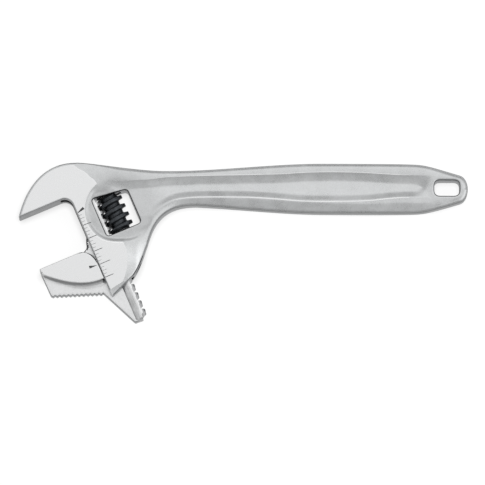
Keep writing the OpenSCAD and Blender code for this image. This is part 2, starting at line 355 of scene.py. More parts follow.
def rows_beside(loop, steps, keep):
    """Rows of points that follow a loop at each of the steps on both of its sides."""
    left = left_normals(loop)
    made = []
    for step in [*steps, *(-step for step in steps)]:
        row = loop + left * step
        gap, _ = nearest(row, loop)
        made.append(row[(gap > abs(step) * 0.96) & keep(row)])
    return made


def grid_points(crowd, keep):
    """Points of a triangular grid that keep their distance from the crowd."""
    low, high = crowd.min(0), crowd.max(0)
    rise = GRID * math.sqrt(3) / 2
    made = np.array([(x + (row % 2) * GRID / 2, y)
                     for row, y in enumerate(np.arange(low[1], high[1], rise))
                     for x in np.arange(low[0], high[0], GRID)])
    made = made[keep(made)]
    tree = KDTree(len(crowd))
    for i, p in enumerate(crowd):
        tree.insert((p[0], p[1], 0), i)
    tree.balance()
    free = [tree.find((p[0], p[1], 0))[2] > GRID * GRID_ROOM for p in made]
    return made[np.array(free)]


def field_solid(name, loops, lines, spots, keep, height, pick, materials, edge_steps):
    """A solid that is the same above and below its middle plane.

    loops are closed constraint lines and lines open ones. spots are blocks of single points. keep says
    which plan points belong to the solid, height gives the half height there, and pick the material.
    edge_steps pairs a loop with the distances of the rows of points beside it.
    """
    points, edges = [], []
    start = 0
    for line, closed in [(loop, True) for loop in loops] + [(line, False) for line in lines]:
        points.append(line)
        count = len(line)
        edges.extend((start + i, start + (i + 1) % count) for i in range(count if closed else count - 1))
        start += count
    for loop, steps in edge_steps:
        points += rows_beside(loop, steps, keep)
    points.append(grid_points(np.vstack(points), keep))
    points += spots
    every = np.vstack(points)
    plane, _, triangles, *_ = delaunay_2d_cdt([Vector(p) for p in every], edges, [], 0, 1e-5)
    plane = np.array([tuple(p) for p in plane])
    triangles = np.array([tuple(t) for t in triangles])
    triangles = triangles[keep(plane[triangles].mean(1))]
    used, triangles = np.unique(triangles, return_inverse=True)
    triangles = triangles.reshape(-1, 3)
    plane = plane[used]
    half = height(plane)
    count = len(plane)
    verts = np.vstack([np.column_stack([plane, MID + half]), np.column_stack([plane, MID - half])])
    a, b, c = (plane[triangles[:, i]] for i in range(3))
    turned = np.cross(b - a, c - a) < 0
    triangles[turned] = triangles[turned][:, ::-1]
    sides = np.vstack([triangles[:, [0, 1]], triangles[:, [1, 2]], triangles[:, [2, 0]]])
    keys = {tuple(pair) for pair in sides}
    rim = sorted(pair for pair in keys if (pair[1], pair[0]) not in keys)
    faces = [tuple(t) for t in triangles] + [tuple(t[::-1] + count) for t in triangles]
    faces += [(p, p + count, q + count, q) for p, q in rim]
    rim = np.array(rim)
    middle = np.vstack([plane[triangles].mean(1)] * 2 + [plane[rim].mean(1)])
    level = np.concatenate([half[triangles].min(1)] * 2 + [half[rim].min(1)])
    wall = np.arange(len(faces)) >= 2 * len(triangles)
    return mesh_object(name, verts, faces, materials, pick(middle, level, wall))


# -------------------- materials


def node_in(tree, kind, *values, **settings):
    """Adds a node. The values, numbers or sockets, fill its inputs in order; settings are its own choices."""
    node = tree.nodes.new(kind)
    for key, value in settings.items():
        setattr(node, key, value)
    for socket, value in zip(node.inputs, values):
        if isinstance(value, bpy.types.NodeSocket):
            tree.links.new(value, socket)
        else:
            socket.default_value = value
    return node


def arithmetic(tree, operation, *values):
    return node_in(tree, "ShaderNodeMath", *values, operation=operation).outputs[0]


def ranged(tree, value, low, high, to_low, to_high, kind="LINEAR"):
    """The value's range from low to high taken to another range, and held at its ends."""
    node = node_in(tree, "ShaderNodeMapRange", value, low, high, to_low, to_high, interpolation_type=kind)
    return node.outputs["Result"]


def noise(tree, place, size, detail, roughness):
    """Noise with features of about a size in millimetres."""
    node = tree.nodes.new("ShaderNodeTexNoise")
    tree.links.new(place, node.inputs["Vector"])
    node.inputs["Scale"].default_value = 1 / (size * MM)
    node.inputs["Detail"].default_value = detail
    node.inputs["Roughness"].default_value = roughness
    return node.outputs["Fac"]


# Most of the noise lies between these values
NOISE_LOW, NOISE_HIGH = 0.3, 0.7
# Upward part of the normal below which faces get the full painted shade of upright faces, and above which
# they get none
UPRIGHT, FACING = 0.3, 0.92


def metal(name, colour, roughness, grain=1.0, grain_depth=0.004, stretch=(1, 1, 1), mottle=6.0, spread=0.08,
          rough_spread=0.05, metallic=1.0, sides=1.0, spots=()):
    """A metal finish: mottled colour and roughness, and a fine grain in its bump. Sizes are millimetres.

    stretch gives the grain's lengths along the slide, across it and up. sides is the share of the colour
    that is left on upright faces, a painted shade that darkens them. Each spot is the middle, the inner
    and outer radius and the share of a round area of painted shade or painted highlight.
    """
    made = bpy.data.materials.new(name)
    made.use_nodes = True
    tree = made.node_tree
    shader = tree.nodes["Principled BSDF"]
    shader.inputs["Metallic"].default_value = metallic
    place = tree.nodes.new("ShaderNodeTexCoord").outputs["Object"]
    scaled = tree.nodes.new("ShaderNodeMapping")
    scaled.vector_type = "TEXTURE"
    scaled.inputs["Scale"].default_value = stretch
    scaled.inputs["Rotation"].default_value = (0, 0, math.atan2(ALONG[1], ALONG[0]))
    tree.links.new(place, scaled.inputs["Vector"])
    broad = noise(tree, place, mottle, 3, 0.55)
    fine = noise(tree, scaled.outputs["Vector"], grain, 4, 0.65)

    def varied(source, low, high):
        return ranged(tree, source, NOISE_LOW, NOISE_HIGH, low, high)

    tone = arithmetic(tree, "MULTIPLY", varied(broad, 1 - spread, 1 + spread),
                      varied(fine, 1 - spread, 1 + spread))
    # painted shade: upright faces keep only the share sides of the colour
    if sides < 1:
        normal = tree.nodes.new("ShaderNodeTexCoord").outputs["Normal"]
        upward = node_in(tree, "ShaderNodeSeparateXYZ", normal).outputs["Z"]
        upward = arithmetic(tree, "ABSOLUTE", upward)
        upright_shade = ranged(tree, upward, UPRIGHT, FACING, sides, 1.0, "SMOOTHSTEP")
        tone = arithmetic(tree, "MULTIPLY", tone, upright_shade)
    # painted shade or painted highlight: the colour is scaled down or up over round areas
    for middle, inner, outer, share in spots:
        centre = (middle[0] * MM, middle[1] * MM, HEAD_HALF * 2 * MM)
        away = node_in(tree, "ShaderNodeVectorMath", place, centre, operation="DISTANCE").outputs["Value"]
        fade = ranged(tree, away, inner * MM, outer * MM, share, 1.0, "SMOOTHSTEP")
        tone = arithmetic(tree, "MULTIPLY", tone, fade)
    shade = node_in(tree, "ShaderNodeVectorMath", colour, operation="SCALE")
    tree.links.new(tone, shade.inputs["Scale"])
    tree.links.new(shade.outputs["Vector"], shader.inputs["Base Color"])
    rough = arithmetic(tree, "ADD", varied(broad, roughness - rough_spread, roughness + rough_spread),
                       varied(fine, -rough_spread / 2, rough_spread / 2))
    tree.links.new(rough, shader.inputs["Roughness"])
    bump = tree.nodes.new("ShaderNodeBump")
    bump.inputs["Strength"].default_value = 1
    bump.inputs["Distance"].default_value = grain_depth * MM
    tree.links.new(fine, bump.inputs["Height"])
    tree.links.new(bump.outputs["Normal"], shader.inputs["Normal"])
    return made


# Middle of the round recess about the window, and of a painted highlight by the heel
RING_CENTRE = plan(14.6, 2.3)
HEEL_HIGHLIGHT = (-47.5, -7)

# painted shade on upright faces and over the recess about the window, and a painted highlight by the heel
satin = metal("satin_forging", (0.62, 0.63, 0.635), 0.3, grain=0.6, grain_depth=0.03, mottle=6, spread=0.08,
              sides=0.25, spots=((RING_CENTRE, 12, 24, 0.88), (HEEL_HIGHLIGHT, 3, 11, 1.28)))
# painted shade: a dark colour for the body's walls and edge bands and the jaw's walls, in place of the shade
# they show
side = metal("side_painted_shade", (0.28, 0.285, 0.29), 0.42, grain=0.6, grain_depth=0.03, mottle=7, spread=0.08)
# the ground cheek's own bright colour, with painted shade on its upright faces
ground = metal("ground_cheek", (0.84, 0.845, 0.85), 0.28, grain=0.5, grain_depth=0.001, stretch=(1, 6, 1),
               mottle=14, spread=0.015, rough_spread=0.03, sides=0.5)
# the jaws' gripping faces, darker than their own finish as painted shade; also the painted shade at the
# rack's tips
machined_and_shade = metal("machined_steel_and_shade", (0.2, 0.204, 0.208), 0.38, grain=0.4, grain_depth=0.01, stretch=(1, 3, 1),
                 mottle=5, spread=0.08)
etched = metal("etched_mark", (0.09, 0.091, 0.093), 0.6, grain=0.3, grain_depth=0.01, mottle=2, spread=0.2,
               metallic=0.3)
# painted shade on the jaw's upright faces
jaw_satin = metal("jaw_satin", (0.83, 0.835, 0.84), 0.32, grain=0.6, grain_depth=0.02, mottle=8, spread=0.06,
                  sides=0.45)
# painted shade on the rail's steep sides
rail_steel = metal("rail_steel", (0.78, 0.785, 0.79), 0.3, grain=0.4, grain_depth=0.01, stretch=(12, 1, 1),
                   mottle=5, spread=0.16, sides=0.3)
# painted shade: near-black bands along the heel, round the window and on the jaw's web by its face
painted_edge_shade = metal("painted_edge_shade", (0.1, 0.102, 0.105), 0.45, grain=0.4, grain_depth=0.01, mottle=3, spread=0.15)
black = metal("black_oxide", (0.066, 0.072, 0.079), 0.46, grain=0.5, grain_depth=0.02, mottle=2.2,
              spread=0.45, rough_spread=0.08, metallic=0.9)
# the pin's own turned steel, also used as painted shade on the rack's teeth
turned_steel_and_shade = metal("turned_pin_and_rack_shade", (0.4, 0.405, 0.41), 0.34, grain=0.3, grain_depth=0.01, mottle=3,
                     spread=0.1)
wire = metal("drawn_wire", (0.5, 0.51, 0.52), 0.3, grain=0.25, grain_depth=0.004, mottle=2, spread=0.1)

# -------------------- body

NECK_HALF_WIDTH = 7.6
GRIP_SWELL = 3.6
TAPER_LENGTH = 20.0
TAPER_SLOPE = 0.3
TIP_LENGTH = 4.0


def half_width(x):
    """Half width of the handle: neck, swell to the grip, taper to the rounded end."""
    past = x - HANDLE_END + TAPER_LENGTH
    taper = TAPER_SLOPE * (past + np.sqrt(past * past + 16)) / 2
    tip = np.clip((x - HANDLE_END + TIP_LENGTH) / TIP_LENGTH, 0, 1)
    return (NECK_HALF_WIDTH + GRIP_SWELL * ramp(x, -35, 36) - taper) * np.sqrt(1 - tip**2.8)


HEAD_FOOT = 49.0
CROWN_LINE = bezier((-100.05, 11.6), (-98.8, 16.9), (-93.5, 35.65), (-75, 35.65))
HEEL_LINE = bezier((-42.6, -0.5), (-44.2, -4.3), (-45, -9.2), (-48.9, -15.2))
THROAT_RADIUS = 4.2


def body_outline():
    """The outline of head, handle and fixed jaw: along the handle's top to its end, and back below."""
    grip = np.linspace(-35, HANDLE_END - 4.5, 150)
    curl = HANDLE_END - TIP_LENGTH + TIP_LENGTH * np.sin(np.linspace(0, math.pi / 2, 14)[:-1])
    x = np.concatenate([grip, curl])
    upper = np.column_stack([x, HANDLE_Y + half_width(x)])
    lower = np.column_stack([x, HANDLE_Y - half_width(x)])[::-1]
    lower = lower[lower[:, 0] > -21.6]
    face = planned([(0, -JAW_REACH + 0.4), (-0.4, -JAW_REACH)])
    throat = planned([(THROAT_RADIUS * (1 - math.sin(a)), -HEAD_FRONT - THROAT_RADIUS * (1 - math.cos(a)))
                      for a in np.radians(np.arange(0, 91, 10))])
    tip = eased_corner(*planned([(45.6, -5.6), (HEAD_FOOT, -HEAD_FRONT), (40, -HEAD_FRONT)]), 0.5)
    return spaced(np.vstack([
        CROWN_LINE, bezier((-74.9, 35.65), (-66.8, 35.65), (-44.8, 32.2), (-36, 32.45)),
        upper, [[HANDLE_END, HANDLE_Y]], lower,
        bezier((-22, 16.9), (-37, 16.6), (-40.2, 7.7), (-42.5, 0)),
        HEEL_LINE, tip, throat, face]), 0.55)


outline = body_outline()[::-1]
foot_line = planned([(45.6, -5.6), (HEAD_FOOT, -HEAD_FRONT)])
window_corners = [(5.1, -7.5), (7.0, 9.0), (WINDOW_BOTTOM, 9.0), (WINDOW_BOTTOM, -7.5)]
window = spaced(eased(planned(window_corners), 1.8), 0.5)
hang = spaced(eased(rectangle(left=85.0, bottom=21.6, right=96.2, top=28.6), 2.6), 0.4)

FOOT_BEVEL = (2.6, 1.4)
foot_run = foot_line[0] - foot_line[1]
foot_length = np.linalg.norm(foot_run)
foot_run = foot_run / foot_length
foot_normal = np.array([-foot_run[1], foot_run[0]])


def foot_bevel(points):
    """Width of the flat bevel along the head's foot, wider at its front."""
    share = smooth((points - foot_line[1]) @ foot_run / foot_length)
    return FOOT_BEVEL[0] + (FOOT_BEVEL[1] - FOOT_BEVEL[0]) * share


bevel_line = foot_line[1] + np.linspace(0.1, 0.99, 24)[:, None] * foot_length * foot_run
bevel_line = bevel_line + foot_normal * foot_bevel(bevel_line)[:, None]

# Where the ground cheek runs out into the forging, as if there were no recess round the window
run_out = flowing([
    (-79.5, 38), (-74.4, 33.4), (-70.8, 31.4), (-68.6, 29.3), (-66.3, 27.4), (-64, 23.5), (-61, 17),
    (-57.5, 9), (-54.6, 2.5), (-53.2, -0.8), (-52.3, -3), (-51.7, -6), (-51.6, -10), (-52.4, -14.5),
    (-54.5, -20.5)])

# Round recess about the window
RING_RADIUS = 15.5


def ring_edge(angle):
    """Radius of the recess, which is a little flatter at its foot."""
    return RING_RADIUS - 1.0 * np.exp(-((angle + math.pi / 2) / 0.44) ** 2)


def ring_gap(points):
    """How far a point lies inside the recess's edge."""
    off = points - RING_CENTRE
    return ring_edge(np.arctan2(off[:, 1], off[:, 0])) - np.hypot(off[:, 0], off[:, 1])


def ring_wall(points):
    """Width of the recess's wall: narrow at the cheek, broad where it opens into the forging above."""
    off = points - RING_CENTRE
    angle = np.degrees(np.arctan2(off[:, 1], off[:, 0]))
    return 1.8 + 5 * ramp(angle, 150, 120) * ramp(angle, -20, 10)


# Crests of the rims round the handle's panel, and the stretches of them that are sharp
crest_top = flowing([
    (-66.5, 25), (-62, 26.6), (-57, 27.3), (-50, 27.7), (-41.8, 28.3), (-32.9, 29.4), (-19.5, 30.1),
    (-1.7, 30.5), (16.1, 31.0), (27, 31.7), (38.4, 32.0), (51.8, 31.8), (60.7, 31.3), (69.6, 30.8),
    (77, 30.6), (86, 30.2), (93, 29.6)])
crest_low = flowing([
    (93, 20.4), (86, 20.3), (77, 20.6), (69.7, 20.5), (62, 19.8), (56.3, 19.2), (47.4, 18.8), (34, 18.7),
    (25.1, 18.9), (16.2, 19.6), (7.3, 20.2), (-1.7, 20.5), (-19.5, 20.4), (-28.4, 19.6), (-32.9, 18.1),
    (-37.3, 15.1), (-40, 12.2), (-42.6, 9.4), (-45.2, 7.6), (-48.5, 8)])
sharp_top = crest_top[(crest_top[:, 0] > -58) & (crest_top[:, 0] < 80)]
sharp_low = crest_low[(crest_low[:, 0] > -44.6) & (crest_low[:, 0] < 80)]
panel_loop = np.vstack([crest_top, [(96, 28), (97, HANDLE_Y), (96, 22)], crest_low, [(-58, 18)]])
RIM_HALF = 4.7
RIM_FALL = 0.27
PANEL_DEPTH = 1.2
PANEL_CLIMB = 1.9
PANEL_TILT = 0.09
RECESS_DEPTH = 0.55
RECESS_TILT = 0.02
DIMPLE_X = 79.2
DIMPLE_RISE = 0.75
DIMPLE_DEPTH = 0.5
DIMPLE_RADIUS = 1.7

EDGE_BREAK = 0.35
CROWN_ROUND = 0.9
HEEL_ROUND = 0.8
BEVEL_SLOPE = 0.75
BEVEL_END = -8
LEAST_HALF = 0.2


def rim_level(x):
    """Half height of the handle's rims, which grows into the head and falls to the end."""
    return RIM_HALF + 0.6 * ramp(x, -26, -48) - 0.4 * ramp(x, 60, 95)


def edge_drop(points, share):
    """How far the edge's round takes the surface down: small on the jaws, wider on the forging."""
    edge, _ = nearest(points, outline)
    wide = 1.2 + 0.6 * (points[:, 1] > HANDLE_Y) + 0.4 * ramp(points[:, 0], 80, 95)
    reach = EDGE_BREAK + share * (wide - EDGE_BREAK)
    crown, _ = nearest(points, CROWN_LINE, closed=False)
    reach = np.where(crown < edge + 0.02, np.maximum(reach, CROWN_ROUND), reach)
    heel, _ = nearest(points, HEEL_LINE, closed=False)
    reach = np.where(heel < edge + 0.02, HEEL_ROUND, reach)
    bow = 0.25 * share * closeness(edge, 4.5) ** 2
    drop = reach * quarter_round(closeness(edge, reach)) + bow
    # flat bevel along the head's foot
    foot = (points - foot_line[1]) @ foot_normal
    low = np.clip(foot_bevel(points) - foot, 0, None) * (points[:, 1] < BEVEL_END)
    return np.maximum(drop, BEVEL_SLOPE * low)


def cheek_level(points):
    """The ground cheek on the head, and beyond its edge the fall to the level of the handle's rims."""
    rims = rim_level(points[:, 0])
    far, side = nearest(points, run_out, closed=False)
    beyond = np.maximum(far * side, 0)
    level = rims + (HEAD_HALF - rims) * np.exp(-beyond / 12)
    return level - edge_drop(points, smooth(beyond / 14))


def with_recess(points, level):
    """The level with the round recess about the window."""
    _, n = slide_parts(points)
    floor = np.minimum(HEAD_HALF - RECESS_DEPTH - RECESS_TILT * (n + 10), level)
    return level + (floor - level) * smooth(ring_gap(points) / ring_wall(points))


def with_panel(points, level):
    """The level with the handle's panel, whose floor climbs into the head.

    The rim below the panel falls away from its crest to the handle's edge.
    """
    x, y = points[:, 0], points[:, 1]
    far, _ = nearest(points, panel_loop)
    within = inside(points, panel_loop)
    upper = smooth((y - HANDLE_Y) / 3 + 0.5)
    crest_width = 0.5 + 2 * ramp(x, 25, 80)
    outer = np.sqrt(np.where(within, 0, np.maximum(far - crest_width, 0)) ** 2 + 0.16) - 0.4
    level = level - RIM_FALL * outer * (1 - upper) * ramp(x, -48, -40) * ramp(x, 92, 80)
    depth = np.where(within, far, 0)
    gentle = closeness(np.sqrt(depth**2 + 0.25) - 0.5, 2.8) ** 1.5
    steep = closeness(depth, 4.2 + 5 * ramp(x, -44, -58)) ** 1.7
    wall = gentle + (steep - gentle) * upper
    sunk = PANEL_DEPTH + PANEL_TILT * (y - HANDLE_Y) - PANEL_CLIMB * ramp(x, -46, -66)
    floor = np.minimum(rim_level(x) - sunk, level)
    return level - (level - floor) * (1 - wall) * (1 - ramp(x, 74, 85))


def body_height(points):
    """Half height of the body at each point."""
    level = with_panel(points, with_recess(points, cheek_level(points)))
    # small round dimple near the hang slot
    spot = np.hypot(points[:, 0] - DIMPLE_X, points[:, 1] - HANDLE_Y - DIMPLE_RISE)
    level = level - DIMPLE_DEPTH * np.exp(-((spot / DIMPLE_RADIUS) ** 2))
    # softened edges of the window and of the hang slot
    for loop, reach, drop in ((window, 0.65, 0.6), (hang, 0.9, 0.75)):
        far, _ = nearest(points, loop)
        level = level - drop * quarter_round(closeness(far, reach))
    return np.maximum(level - engraved(points, body_marks), LEAST_HALF)


# The scale on the head
QUARTER_INCH = 6.35
SCALE_START = 8.4
LINE_START = -HEAD_FRONT + EDGE_BREAK + 0.08
INCH_LINE, QUARTER_LINE, EIGHTH_LINE, SIXTEENTH_LINE = 5.0, 3.9, 2.1, 1.4
BROAD_LINE = {"width": 0.26, "depth": 0.1}
FINE_LINE = {"width": 0.12, "depth": 0.05}
ZERO_WEDGE = [(8.75, -15.2), (8.2, -11.9), (7.0, -12.4), (8.35, -15.2)]
MARK_DEPTH = 0.12
MARK_WALL = 0.045
POINTER_WALL = 0.06


def inset(corners, by):
    """A convex outline drawn in by a small distance."""
    made = []
    for before, p, after in zip(np.roll(corners, 1, axis=0), corners, np.roll(corners, -1, axis=0)):
        a = (before - p) / np.linalg.norm(before - p)
        b = (after - p) / np.linalg.norm(after - p)
        turn = abs(a[0] * b[1] - a[1] * b[0])
        made.append(p + (a + b) / max(turn, 0.2) * by)
    return np.array(made)


def mark(corners, depth, wall):
    """A mark's outline, the outline of its floor, drawn in by the wall's width, and its depth."""
    corners = np.array(corners)
    return planned(corners), planned(inset(corners, wall)), depth


def scale_line(sixteenths, length, width, depth):
    """One line of the scale, so many sixteenths of an inch from its zero."""
    s = SCALE_START + sixteenths * QUARTER_INCH / 4
    corners = rectangle(s - width / 2, LINE_START, s + width / 2, LINE_START + length)
    return mark(corners, depth, MARK_WALL)


def scale_marks():
    """Broad lines every quarter inch, fine ones every sixteenth between them, and the zero wedge."""
    made = [scale_line(at, INCH_LINE if at == 16 else QUARTER_LINE, **BROAD_LINE) for at in range(4, 21, 4)]
    made += [scale_line(at, EIGHTH_LINE if at % 4 == 2 else SIXTEENTH_LINE, **FINE_LINE)
             for at in range(1, 21) if at % 4]
    return made + [mark(ZERO_WEDGE, MARK_DEPTH, MARK_WALL)]


body_marks = scale_marks()


def engraved(points, marks):
    """Depth of the marks at each point."""
    made = np.zeros(len(points))
    for _, floor, depth in marks:
        low, high = floor.min(0) - 0.02, floor.max(0) + 0.02
        near = ((points > low) & (points < high)).all(1)
        if near.any():
            rows = np.flatnonzero(near)
            grown = floor.mean(0) + (floor - floor.mean(0)) * 1.02
            made[rows[inside(points[rows], grown)]] = depth
    return made


def in_body(points):
    return inside(points, outline) & ~inside(points, window) & ~inside(points, hang)


def cheek_lines():
    """The sharp edge between the ground cheek and the forging, and lines down the recess's wall."""
    rows = run_out[inside(run_out, outline)]
    out = ring_gap(rows) < 0
    top = rows[out & (rows[:, 1] > RING_CENTRE[1])]
    low = rows[out & (rows[:, 1] < RING_CENTRE[1])]
    first, last = top[-1] - RING_CENTRE, low[0] - RING_CENTRE
    start = math.atan2(first[1], first[0])
    finish = math.atan2(last[1], last[0]) + 2 * math.pi
    angles = np.arange(start + 0.02, finish - 0.02, 0.028)
    wrapped = np.mod(angles + math.pi, 2 * math.pi) - math.pi

    def arc(off):
        radius = ring_edge(wrapped) - off
        return RING_CENTRE + radius[:, None] * np.column_stack([np.cos(angles), np.sin(angles)])

    return [np.vstack([top, arc(0), low])] + [arc(off) for off in (0.45, 0.9, 1.35, 1.8)]


BODY_METALS = [satin, ground, etched, side, machined_and_shade, painted_edge_shade]
FLAT = HEAD_HALF - 0.003
CREST_HIGHLIGHT = 0.17
# Widths of the bands along the body's edges that differ from its faces, most of them painted shade
FRONT_BAND = 0.6
SIDE_BAND = 0.45
HANG_BAND = 0.4
HEEL_BAND = 0.5
WINDOW_BAND = 0.42


def body_pick(middle, level, wall):
    """Which of the body's metals each face has, from its middle and half height; later lines win."""
    at = BODY_METALS.index
    x, y = middle[:, 0], middle[:, 1]
    s, n = slide_parts(middle)
    picked = np.where(level > FLAT, at(ground), at(satin))
    edge, _ = nearest(middle, outline)
    handle_low = (x > -30) & (y < HANDLE_Y)
    # painted shade: dark bands along the outer edges, except the front and the handle's lower edge, and round
    # the hang slot
    picked = np.where((edge < SIDE_BAND) & (n > -HEAD_FRONT + FRONT_BAND) & ~handle_low, at(side), picked)
    picked = np.where(nearest(middle, hang)[0] < HANG_BAND, at(side), picked)
    # painted shade: a near-black band along the heel
    heel, _ = nearest(middle, HEEL_LINE, closed=False)
    picked = np.where((heel < HEEL_BAND) & (y < -6), at(painted_edge_shade), picked)
    # painted highlight: the crests along the grip get the bright ground metal
    highlight_width = CREST_HIGHLIGHT * ramp(x, -45, -10) * ramp(x, 80, 65)
    for crest in (sharp_top, sharp_low):
        picked = np.where(nearest(middle, crest, closed=False)[0] < highlight_width, at(ground), picked)
    # painted shade: a near-black band round the window
    picked = np.where(nearest(middle, window)[0] < WINDOW_BAND, at(painted_edge_shade), picked)
    # painted shade: the walls are dark, darkest at the fixed jaw's gripping face
    front = (n < -HEAD_FRONT + FRONT_BAND) & (s > -0.6)
    picked = np.where(wall, np.where(front, at(machined_and_shade), at(side)), picked)
    for outer, _, _ in body_marks:
        low, high = outer.min(0), outer.max(0)
        near = np.flatnonzero(((middle > low) & (middle < high)).all(1) & ~wall)
        picked[near[inside(middle[near], outer)]] = at(etched)
    return picked


# Distances of the rows of points along the body's edges and its two crests
EDGE_ROWS = (0.06, 0.16, 0.3, 0.46, 0.75, 1.1, 1.55, 2.1)
WINDOW_ROWS = (0.1, 0.22, 0.4, 0.7)
HANG_ROWS = (0.1, 0.25, 0.45, 0.7, 1.0)
CREST_ROWS = (-1.3, -0.9, -0.6, -0.36, -0.17, 0.2, 0.5)
crest_rows = np.vstack([crest + left_normals(crest, closed=False) * step
                        for crest in (sharp_top, sharp_low) for step in CREST_ROWS])
mark_loops = [outer for outer, _, _ in body_marks] + [floor for _, floor, _ in body_marks]
body = field_solid(
    "wrench_body",
    loops=[outline, window, hang, *mark_loops],
    lines=cheek_lines() + [sharp_top, sharp_low, bevel_line],
    spots=[crest_rows[in_body(crest_rows)]],
    keep=in_body, height=body_height, pick=body_pick, materials=BODY_METALS,
    edge_steps=((window, WINDOW_ROWS), (hang, HANG_ROWS), (outline, EDGE_ROWS)))

# Ends of the ways that are cut into the head, beyond its top and its foot
ABOVE_HEAD, BELOW_HEAD, PIN_HOLE_END = -30, 70, 50
WORM_ROOM = 0.4
way_half = WEB_HALF + SLIDE_PLAY
web_way = planned([(-9.5, RAIL_N), (-9.5, -14.6), (-8.3, -16.4), (-5, -17.6), (-2.5, -18.6), (-1, -20.2),
                   (BELOW_HEAD, -20.2), (BELOW_HEAD, RAIL_N)])
for cutter in (
        rod("cutter_rail", ABOVE_HEAD, BELOW_HEAD, RAIL_N, RAIL_RADIUS + SLIDE_PLAY, machined_and_shade),
        prism("cutter_web", web_way, MID - way_half, MID + way_half, machined_and_shade),
        rod("cutter_worm", WORM_TOP - 0.2, WINDOW_BOTTOM - 1, 0, WORM_RADIUS + WORM_ROOM, machined_and_shade),
        rod("cutter_pin", PIN_START - 0.3, PIN_THREAD_START + 1, 0, PIN_RADIUS + PIN_PLAY, machined_and_shade),
        rod("cutter_thread", PIN_THREAD_START, PIN_HOLE_END, 0, PIN_THREAD_RADIUS, machined_and_shade)):
    combine(body, cutter, "DIFFERENCE")
finish_shading(body)
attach(body, "frame")
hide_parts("body")

# -------------------- sliding jaw

TOOTH_COUNT = 12
TOOTH_HEIGHT = 0.75
GRIP_START = np.array([JAW_FACE + 12.3, -40.8])
GRIP_FINISH = np.array([JAW_FACE + 20.4, -18.9])
JAW_TIP = -40.9
BOSS_BACK = -HEAD_FRONT - JAW_GAP
WEB_BACK = RAIL_N - 0.9
WEB_EDGE = 0.4
COVE_WIDTH = 2.2
COVE_AT_TIP = 1.1
COVE_AT_FACE = 0.7
HEAD_FADE = 0.6


def grip_teeth():
    """The row of teeth of the second gripping edge, with slightly rounded tips and roots."""
    step = (GRIP_FINISH - GRIP_START) / TOOTH_COUNT
    out = np.array([step[1], -step[0]]) / np.linalg.norm(step) * TOOTH_HEIGHT
    t = np.arange(0, TOOTH_COUNT, 0.125)
    rise = 0.5 - np.arcsin(0.96 * np.cos(2 * math.pi * t)) / math.pi
    return GRIP_START + t[:, None] * step + rise[:, None] * out


boss = spaced(planned(np.vstack([
    [(JAW_FACE, JAW_TIP)],
    bezier((JAW_FACE, -22.4), (JAW_FACE, -18.2), (JAW_FACE + 4.1, -16.3), (JAW_FACE + 9.1, BOSS_BACK)),
    bezier((JAW_FACE + 14.9, BOSS_BACK), (JAW_FACE + 15.2, -25.5), (JAW_FACE + 9.6, -33.5),
           (JAW_FACE + 2.5, JAW_TIP))])), 0.45)
web = spaced(planned(np.vstack([
    [(JAW_FACE + 2, JAW_TIP - 0.2)], grip_teeth(), [GRIP_FINISH],
    [(RAIL_FINISH - 0.4, -11.1), (RAIL_FINISH, -10.6), (RAIL_FINISH, WEB_BACK), (JAW_FACE - 9.1, WEB_BACK)],
    bezier((JAW_FACE - 9.1, -13.5), (JAW_FACE - 2.2, -19.5), (JAW_FACE - 1.5, -15.5),
           (JAW_FACE + 0.1, -20.2)),
    [(JAW_FACE + 1, -24)]])), 0.45)
pointer = mark([(32.6, -20.2), (33.9, -20.3), (33.8, -16.6)], MARK_DEPTH, POINTER_WALL)


def in_jaw(points):
    return inside(points, boss) | inside(points, web)


def offset_loop(loop, by):
    """The loop moved outward, kept where the move is clean."""
    area = (loop[:, 0] * np.roll(loop[:, 1], -1) - np.roll(loop[:, 0], -1) * loop[:, 1]).sum()
    row = loop + left_normals(loop) * by * (-1 if area > 0 else 1)
    gap, _ = nearest(row, loop)
    return row[gap > abs(by) * 0.97]


def jaw_height(points):
    """Half height of the sliding jaw at each point, without its rail."""
    far, _ = nearest(points, boss)
    within = inside(points, boss) | (far < 0.01)
    top = HEAD_HALF - EDGE_BREAK * quarter_round(closeness(far, EDGE_BREAK))
    # a cove climbs from the web to the boss, except where the boss stands against the head
    s, n = slide_parts(points)
    reach = COVE_AT_TIP + (COVE_WIDTH - COVE_AT_TIP) * ramp(n, -38, -18)
    reach = COVE_AT_FACE + (reach - COVE_AT_FACE) * ramp(s - JAW_FACE, 4, 9)
    climb = closeness(far, reach) * np.clip((BOSS_BACK - n) / HEAD_FADE, 0, 1)
    foot = WEB_HALF + (HEAD_HALF - WEB_HALF) * quarter_round(climb)
    edge, _ = nearest(points, web)
    foot = foot - WEB_EDGE * quarter_round(closeness(edge, WEB_EDGE))
    return np.where(within, top, foot) - engraved(points, [pointer])


JAW_METALS = [jaw_satin, ground, etched, machined_and_shade, side, painted_edge_shade]


def jaw_pick(middle, level, wall):
    """Which of the jaw's metals each face has; later lines win."""
    at = JAW_METALS.index
    s, n = slide_parts(middle)
    flat = level > FLAT
    picked = np.where(flat, at(ground), at(jaw_satin))
    edge, _ = nearest(middle, web)
    # painted shade: a dark band along the web's edge
    picked = np.where(~flat & (edge < 0.25), at(side), picked)
    # painted shade: a near-black band on the web's edge beside the jaw's face, broader where it enters the
    # head
    shade_band = np.where(n > -18, 0.8, 0.5)
    by_face = (s < JAW_FACE + 1) & (n > -21)
    picked = np.where(~flat & (edge < shade_band) & by_face, at(painted_edge_shade), picked)
    # painted shade: the walls are dark, darkest at the sliding jaw's gripping face
    picked = np.where(wall, at(side), picked)
    picked = np.where(wall & (s < JAW_FACE + 0.3) & (n < -18), at(machined_and_shade), picked)
    picked[inside(middle, pointer[0]) & ~wall] = at(etched)
    return picked


